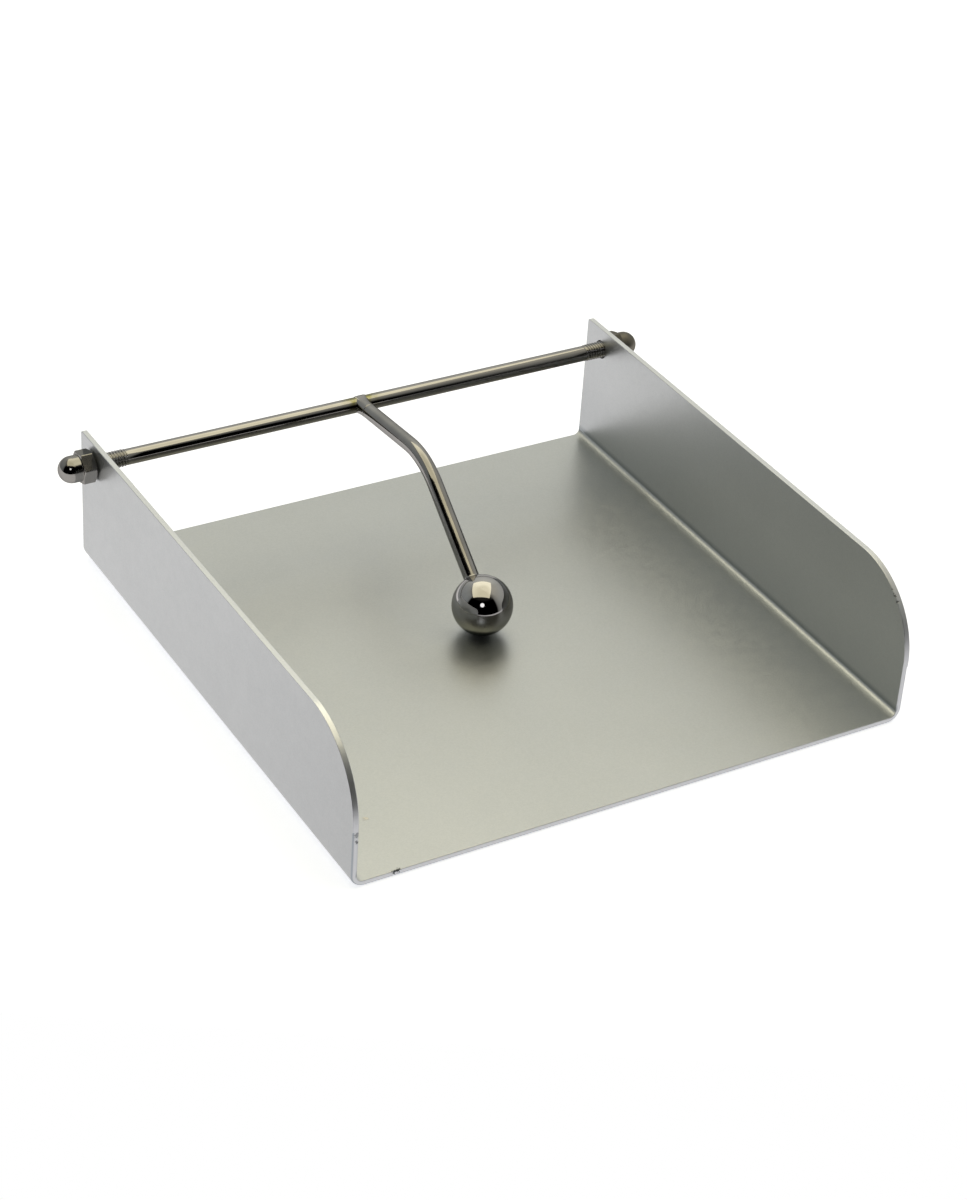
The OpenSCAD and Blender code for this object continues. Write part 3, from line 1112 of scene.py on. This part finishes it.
def make_softbox():
    """The lamp overhead, turned with the camera."""
    data = bpy.data.lights.new("softbox", "AREA")
    data.shape = "RECTANGLE"
    data.size = SOFTBOX_WIDTH
    data.size_y = SOFTBOX_LENGTH
    data.color = SOFTBOX_COLOUR
    data.energy = SOFTBOX_RADIANCE * math.pi * SOFTBOX_WIDTH * SOFTBOX_LENGTH
    lamp = bpy.data.objects.new("softbox", data)
    bpy.context.scene.collection.objects.link(lamp)
    up = Vector((0, 0, SOFTBOX_HEIGHT))
    lamp.location = BALL_CENTRE + AWAY * SOFTBOX_AWAY + ASIDE * SOFTBOX_ASIDE + up
    heading = Matrix.Rotation(-CAMERA_YAW, 4, "Z")
    lamp.rotation_euler = (heading @ Matrix.Rotation(SOFTBOX_TILT, 4, "X")).to_euler()


# Level of the surroundings by the angle from the camera's side, positive to the right of the picture
SIDE_LEVELS = (
    (-180, 0.80), (-158, 0.70), (-130, (0.44, 0.455, 0.475)), (-100, (0.35, 0.365, 0.385)),
    (-82, (0.34, 0.357, 0.38)), (-67, (0.26, 0.274, 0.29)), (-61, 0.0), (59, 0.0), (65, 0.26),
    (85, 0.45), (110, 0.52), (145, 0.58), (160, 0.74), (180, 0.80))
# The same higher up, where the softbox hangs in front of it
HIGH_LEVELS = (
    (-180, 0.6), (-150, 0.6), (-120, 0.3), (-60, 0.12), (-40, 0.02), (50, 0.02), (64, 0.2),
    (85, 0.5), (120, 0.56), (150, 0.58), (180, 0.6))
# How far the high levels have taken over by elevation
UP_SHARES = ((-90, 0.0), (45, 0.0), (55, 1.0), (90, 1.0))
# How bright the surroundings are by elevation, and their warm tint
UP_LEVELS = (
    (-90, (0.85, 0.85, 0.80)), (12, (0.85, 0.85, 0.80)), (33, (1.0, 1.0, 0.92)),
    (62, (1.05, 1.0, 0.85)), (74, (0.42, 0.40, 0.34)), (90, (0.42, 0.40, 0.34)))
# The flash beside the camera: elevation and radius in degrees, softness of its rim, and level
FLASH_ELEVATION = 33
FLASH_RADIUS = 7.5
FLASH_SOFTNESS = 0.15
FLASH_LEVEL = 1.9


def make_surroundings():
    """What the metal mirrors: white behind the holder, grey at its sides, dark round the camera."""
    world = bpy.data.worlds.new("studio")
    bpy.context.scene.world = world
    world.use_nodes = True
    world.node_tree.nodes.clear()
    tree = Tree(world.node_tree)
    # The camera's direction comes to lie on +X
    place = tree.add("ShaderNodeTexCoord").outputs["Generated"]
    feeds = [("Vector", place), ("Angle", CAMERA_YAW + QUARTER)]
    turned = tree.add("ShaderNodeVectorRotate", feeds, rotation_type="Z_AXIS")
    direction = turned.outputs["Vector"]
    lights = [(0, room_light(tree, direction)), (1, flash_light(tree, direction))]
    both = tree.add("ShaderNodeVectorMath", lights, operation="ADD").outputs["Vector"]
    mirrored = tree.add("ShaderNodeBackground", [("Color", both)]).outputs["Background"]
    white = tree.add("ShaderNodeBackground", [("Color", WHITE)]).outputs["Background"]
    seen = tree.add("ShaderNodeLightPath").outputs["Is Camera Ray"]
    tree.add("ShaderNodeOutputWorld", [("Surface", tree.choose(seen, mirrored, white))])


def room_light(tree, direction):
    """The light of the room by direction."""
    toward, aside, up = tree.axes(direction)
    around = tree.spread(tree.combine(aside, toward, "ARCTAN2"), 0, 1, -math.pi, math.pi)
    low_room, high_room = [
        tree.ramp(around, [((angle + 180) / 360, level) for angle, level in levels])
        for levels in (SIDE_LEVELS, HIGH_LEVELS)]
    raised = tree.spread(up, 0, 1, -1, 1)
    share, tint = [
        tree.ramp(raised, [((1 + math.sin(math.radians(angle))) / 2, level) for angle, level in levels])
        for levels in (UP_SHARES, UP_LEVELS)]
    return tree.blend(1, tree.blend(share, low_room, high_room), tint, "MULTIPLY")


def flash_light(tree, direction):
    """The light of the flash by direction."""
    up = math.radians(FLASH_ELEVATION)
    feeds = [(0, direction), (1, (math.cos(up), 0, math.sin(up)))]
    facing = tree.add("ShaderNodeVectorMath", feeds, operation="DOT_PRODUCT").outputs["Value"]
    outer = math.cos(math.radians(FLASH_RADIUS * (1 + FLASH_SOFTNESS)))
    inner = math.cos(math.radians(FLASH_RADIUS * (1 - FLASH_SOFTNESS)))
    return tree.spread(facing, 0, FLASH_LEVEL, outer, inner, interpolation_type="SMOOTHSTEP")


make_camera()
make_floor()
make_softbox()
make_surroundings()
bpy.context.scene.view_settings.view_transform = "Standard"
